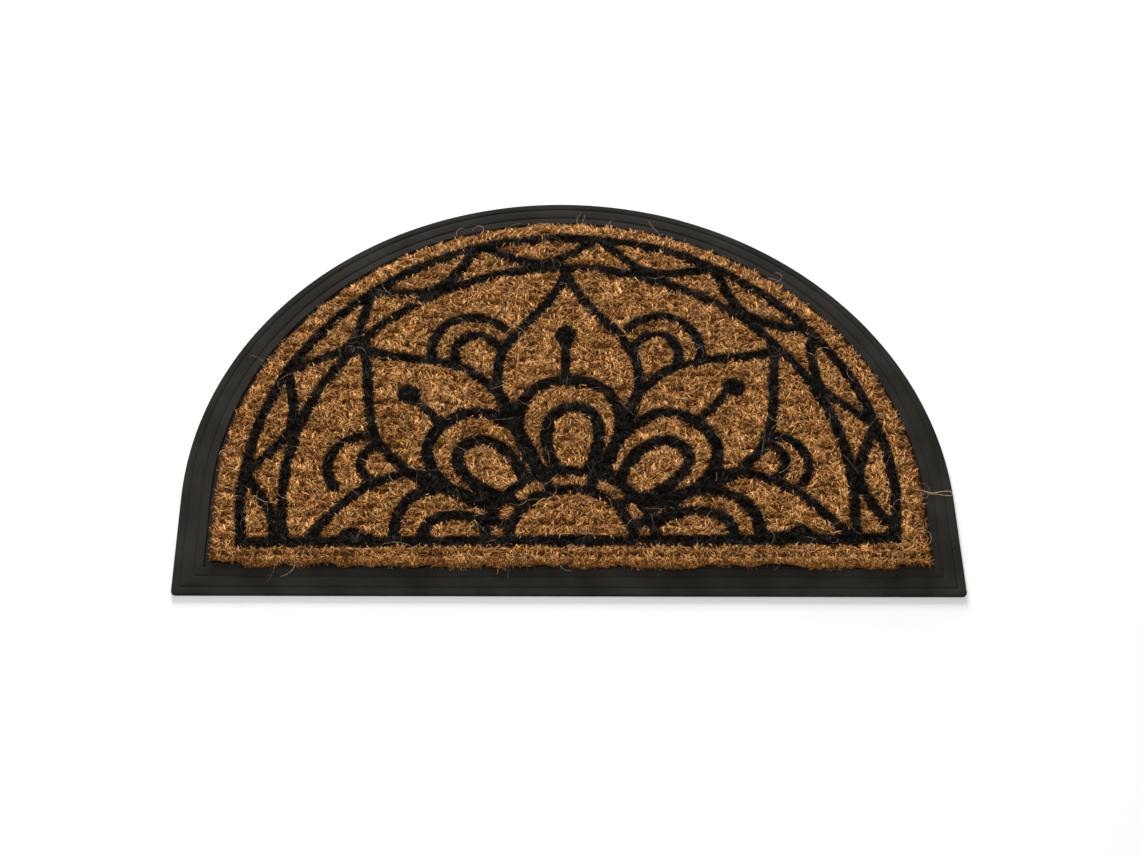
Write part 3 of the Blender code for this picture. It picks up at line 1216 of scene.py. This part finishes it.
@dataclass
class LooseHairs:
    """Long loose fibres that lie over the pile, some of them curled."""

    bed: CoirBed
    count: int = 250
    rim_count: int = 40
    seed: int = 12
    sides: int = 3
    steps: int = 9

    def route(
        self, random: np.random.Generator, least: float, most: float, curliness: float
    ) -> tuple[list[Vector], float]:
        """Return one hair's centre line and its radius.

        Args:
            random: Source of chance.
            least: Least distance of its root from the mat's outer edge.
            most: Greatest distance of its root from the mat's outer edge.
            curliness: Typical turn from end to end, in radians.

        Returns:
            The points and the radius.
        """
        outline = self.bed.outline
        while True:
            x = random.uniform(-outline.radius, outline.radius)
            y = random.uniform(outline.front, outline.depth / 2)
            if least < outline.inside(np.array([(x, y)]))[0] < most:
                break
        length = random.uniform(9, 30) * MM
        heading = random.uniform(0, 2 * math.pi)
        curl = random.normal(0, curliness) / self.steps
        lift = random.uniform(0.6, 2.6) * MM
        points = []
        for step in range(self.steps + 1):
            share = step / self.steps
            rise = lift * math.sin(math.pi * share) if step else 0.0
            points.append(Vector((x, y, self.bed.top + 0.5 * MM + rise)))
            heading += curl + random.normal(0, 0.12)
            x += math.cos(heading) * length / self.steps
            y += math.sin(heading) * length / self.steps
        points[0].z = points[-1].z = self.bed.top - 0.8 * MM
        return points, random.uniform(0.07, 0.13) * MM

    def tube(self, mesh: bmesh.types.BMesh, points: Sequence[Vector], radius: float) -> None:
        """Add one closed three-sided hair to the mesh."""
        rings = []
        for number, point in enumerate(points):
            ahead = points[min(number + 1, len(points) - 1)] - points[max(number - 1, 0)]
            turn = ahead.to_track_quat("Z", "Y")
            taper = 1.0 - 0.55 * number / (len(points) - 1)
            ring = []
            for side in range(self.sides):
                a = 2 * math.pi * side / self.sides
                offset = turn @ Vector((math.cos(a), math.sin(a), 0.0))
                ring.append(mesh.verts.new(point + offset * radius * taper))
            rings.append(ring)
        for lower, upper in zip(rings, rings[1:]):
            bridge(mesh, lower, upper)
        mesh.faces.new(list(reversed(rings[0])))
        mesh.faces.new(rings[-1])

    def build(self, material: bpy.types.Material) -> bpy.types.Object:
        """Return all the hairs as one piece."""
        random = np.random.default_rng(self.seed)
        mesh = bmesh.new()
        for _ in range(self.count):
            self.tube(mesh, *self.route(random, 34 * MM, self.bed.outline.radius, 2.2))
        for _ in range(self.rim_count):
            self.tube(mesh, *self.route(random, 29.5 * MM, 34 * MM, 2.6))
        self.tube(mesh, [Vector(place) * MM for place in HAIRPIN], 0.20 * MM)
        made = add_mesh("loose_hairs", mesh, material)
        points_each = (self.steps + 1) * self.sides
        count = len(made.data.vertices)
        # along drives the fibre finish's painted root shade, so each hair is darker towards its first
        # end.
        along = (np.arange(count) % points_each) / points_each
        tone = np.repeat(random.uniform(0, 1, self.count + self.rim_count), points_each)
        tone = np.append(tone, np.ones(count - len(tone)))
        bare = np.full(count, -8 * MM)
        for name, values in (("along", along), ("tone", tone), ("ink_depth", bare)):
            made.data.attributes.new(name, "FLOAT", "POINT").data.foreach_set("value", values)
        return made


@dataclass(frozen=True)
class Viewpoint:
    """The camera, where the photograph's perspective puts it."""

    place: tuple[float, float, float] = (-0.0623, -1.1329, 1.5764)
    forward: tuple[float, float, float] = (0.0333, 0.5680, -0.8224)
    roll: float = 3.03
    lens: float = 65.17
    sensor: float = 36.0

    def build(self) -> bpy.types.Object:
        """Make the camera and set it as the scene's."""
        data = bpy.data.cameras.new("camera")
        data.lens = self.lens
        data.sensor_width = self.sensor
        data.clip_start, data.clip_end = 0.05, 50.0
        camera = bpy.data.objects.new("camera", data)
        bpy.context.scene.collection.objects.link(camera)
        aim = Vector(self.forward).to_track_quat("-Z", "Y")
        camera.rotation_mode = "QUATERNION"
        camera.rotation_quaternion = aim @ Quaternion((0, 0, 1), math.radians(self.roll))
        camera.location = self.place
        bpy.context.scene.camera = camera
        return camera


@dataclass(frozen=True)
class SoftLight:
    """One square studio light that points at the middle of the mat."""

    name: str
    place: tuple[float, float, float]
    size: float
    power: float

    def build(self) -> bpy.types.Object:
        """Make the light."""
        data = bpy.data.lights.new(self.name, "AREA")
        data.shape = "SQUARE"
        data.size = self.size
        data.energy = self.power
        light = bpy.data.objects.new(self.name, data)
        bpy.context.scene.collection.objects.link(light)
        light.location = self.place
        light.rotation_mode = "QUATERNION"
        light.rotation_quaternion = (-Vector(self.place)).to_track_quat("-Z", "Y")
        return light


@dataclass(frozen=True)
class Studio:
    """The pale floor, the soft lights and the even surround."""

    floor_half: float = 4.0
    floor_drop: float = 0.1 * MM
    surround: float = 0.50

    def build(self) -> None:
        """Make the floor, the lights and the world."""
        mesh = bmesh.new()
        corners = ((-1, -1), (1, -1), (1, 1), (-1, 1))
        ring = [
            mesh.verts.new((x * self.floor_half, y * self.floor_half, -self.floor_drop))
            for x, y in corners
        ]
        mesh.faces.new(ring)
        floor = add_mesh("floor", mesh, PlainFloor().material())
        lights = (
            SoftLight("key", (-0.45, 4.2, 1.25), 2.1, 610.0),
            SoftLight("fill", (-0.8, -1.5, 3.2), 1.0, 108.0),
        )
        for light in lights:
            light.build()
        world = bpy.data.worlds.new("surround")
        world.use_nodes = True
        world.node_tree.nodes["Background"].inputs["Color"].default_value = (1, 1, 1, 1)
        world.node_tree.nodes["Background"].inputs["Strength"].default_value = self.surround
        bpy.context.scene.world = world
        bpy.context.scene.view_settings.view_transform = "Standard"


def report(piece: bpy.types.Object) -> None:
    """Log a piece's name and its number of triangles."""
    count = sum(len(face.vertices) - 2 for face in piece.data.polygons)
    LOG.info("%s: %d triangles", piece.name, count)


def main() -> None:
    """Build and dress the whole mat, then its floor, lights and camera."""
    logging.basicConfig(level=logging.INFO, format="%(message)s")
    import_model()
    Viewpoint().build()
    Studio().build()

    low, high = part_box("rubber_tray")
    outline = MatOutline(width=high[0] - low[0], depth=high[1] - low[1])
    base_line = 52.2 * MM
    mandala = HalfMandala(
        centre=(0.0, (outline.front + base_line) / MM),
        arc_rise=(outline.arc_y - outline.front - base_line) / MM,
    )
    tray = RubberTray(outline).build(MouldedRubber().material())
    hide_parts("rubber_tray")
    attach(tray, "root")
    report(tray)

    coir = CoirBed(outline, mandala)
    bed = coir.build(CoirBedFinish().material())
    report(bed)

    planting = Planting(bed)
    short = FibreKit("short_fibre", 0, (0.026, 0.044), (0.0, 0.30)).collection()
    long = FibreKit("long_fibre", 2, (0.018, 0.030), (0.10, 0.75)).collection()
    fibre_finish = CoirFibreFinish().material()
    hair_finish = CoirFibreFinish("loose_coir_hair", lift=0.10, bleach=0.45).material()
    pile = []
    for number in range(4):
        piece = planting.plant(
            f"coir_pile_{number + 1}",
            fibre_finish,
            Fibres=short,
            Density=262000.0,
            Shortest=5.5 * MM,
            Longest=9.5 * MM,
            Least_Lean=0.75,
            Most_Lean=1.45,
            Clump_Turn=2.6,
            Dye_Scatter=1.1 * MM,
            Seed=number + 1,
        )
        spread_bake_map(piece, 4)
        pile.append(piece)
    piece = planting.plant(
        "coir_long_fibres",
        fibre_finish,
        Fibres=long,
        Density=48000.0,
        Shortest=6.0 * MM,
        Longest=12.0 * MM,
        Least_Lean=0.9,
        Most_Lean=1.45,
        Clump_Turn=6.3,
        Dye_Scatter=1.4 * MM,
        Seed=9,
    )
    spread_bake_map(piece, 8)
    pile.append(piece)
    pile.append(LooseHairs(coir).build(hair_finish))
    for kit in (short, long):
        for fibre in list(kit.objects):
            bpy.data.objects.remove(fibre, do_unlink=True)
        bpy.data.collections.remove(kit)

    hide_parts("coir_pile")
    for piece in [bed, *pile]:
        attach(piece, "root")
    for piece in pile:
        report(piece)


if __name__ == "__main__":
    main()
